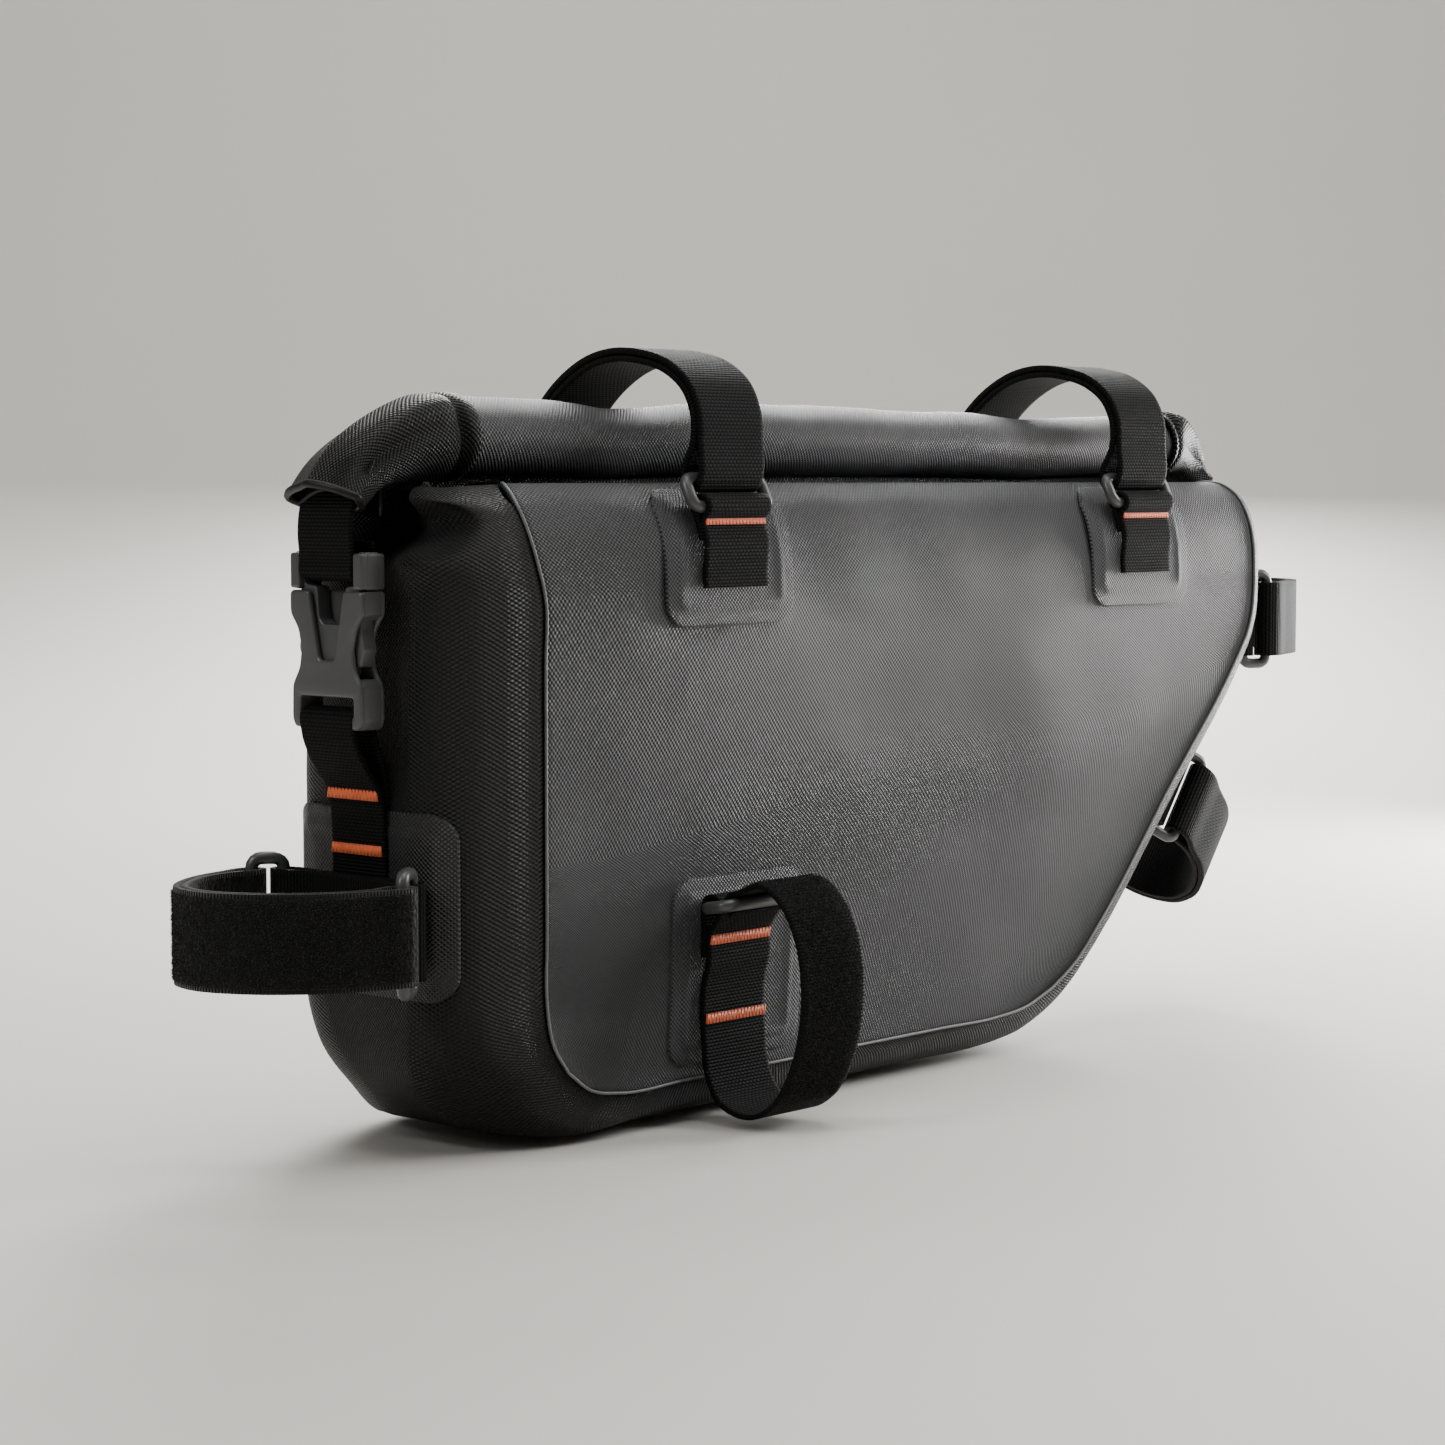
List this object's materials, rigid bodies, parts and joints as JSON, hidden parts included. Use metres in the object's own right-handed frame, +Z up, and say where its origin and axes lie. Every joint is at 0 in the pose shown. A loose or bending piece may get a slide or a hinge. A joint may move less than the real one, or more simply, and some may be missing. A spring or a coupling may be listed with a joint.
{
  "type": "bicycle frame bag",
  "caption": "Roll-top bikepacking frame bag of welded coated fabric with a side-release buckle, ringed hook-and-loop mounting straps and moulded-in patches, standing on its flat bottom",
  "frame": {"origin": "middle of the flat bottom, on the floor", "axes": "+X towards the front end, at the head tube; +Y towards the bag's left side; +Z up"},
  "size_m": [0.4853, 0.1173, 0.211],
  "materials": {
    "coated_fabric": "charcoal coated weave with a soft sheen, in fair used condition",
    "gusset_fabric": "near-black coated weave",
    "webbing": "black ribbed webbing, hook and loop on the mounting straps, orange bartacks",
    "plastic": "dark grey moulded plastic"
  },
  "bodies": {
    "root": {"buckle_plug": "plastic", "buckle_socket": "plastic", "closure_strap_front": "webbing", "closure_strap_lower": "webbing", "closure_strap_upper": "webbing", "down_tube_patch": "gusset_fabric", "down_tube_ring_left": "plastic", "down_tube_ring_right": "plastic", "down_tube_strap": "webbing", "down_tube_tab": "webbing", "gusset": "gusset_fabric", "head_tube_patch": "gusset_fabric", "head_tube_ring_left": "plastic", "head_tube_ring_right": "plastic", "head_tube_strap": "webbing", "head_tube_tab": "webbing", "panel_left": "coated_fabric", "panel_right": "coated_fabric", "roll": "coated_fabric", "roll_end_front": "gusset_fabric", "roll_end_rear": "gusset_fabric", "seat_tube_patch": "gusset_fabric", "seat_tube_ring_left": "plastic", "seat_tube_ring_right": "plastic", "seat_tube_strap": "webbing", "seat_tube_tab": "webbing", "side_patch": "coated_fabric", "side_ring": "plastic", "side_strap": "webbing", "top_front_patch_left": "coated_fabric", "top_front_patch_right": "coated_fabric", "top_front_ring_left": "plastic", "top_front_ring_right": "plastic", "top_front_strap": "webbing", "top_front_tab_left": "webbing", "top_front_tab_right": "webbing", "top_rear_patch_left": "coated_fabric", "top_rear_patch_right": "coated_fabric", "top_rear_ring_left": "plastic", "top_rear_ring_right": "plastic", "top_rear_strap": "webbing", "top_rear_tab_left": "webbing", "top_rear_tab_right": "webbing"}
  },
  "joints": []
}
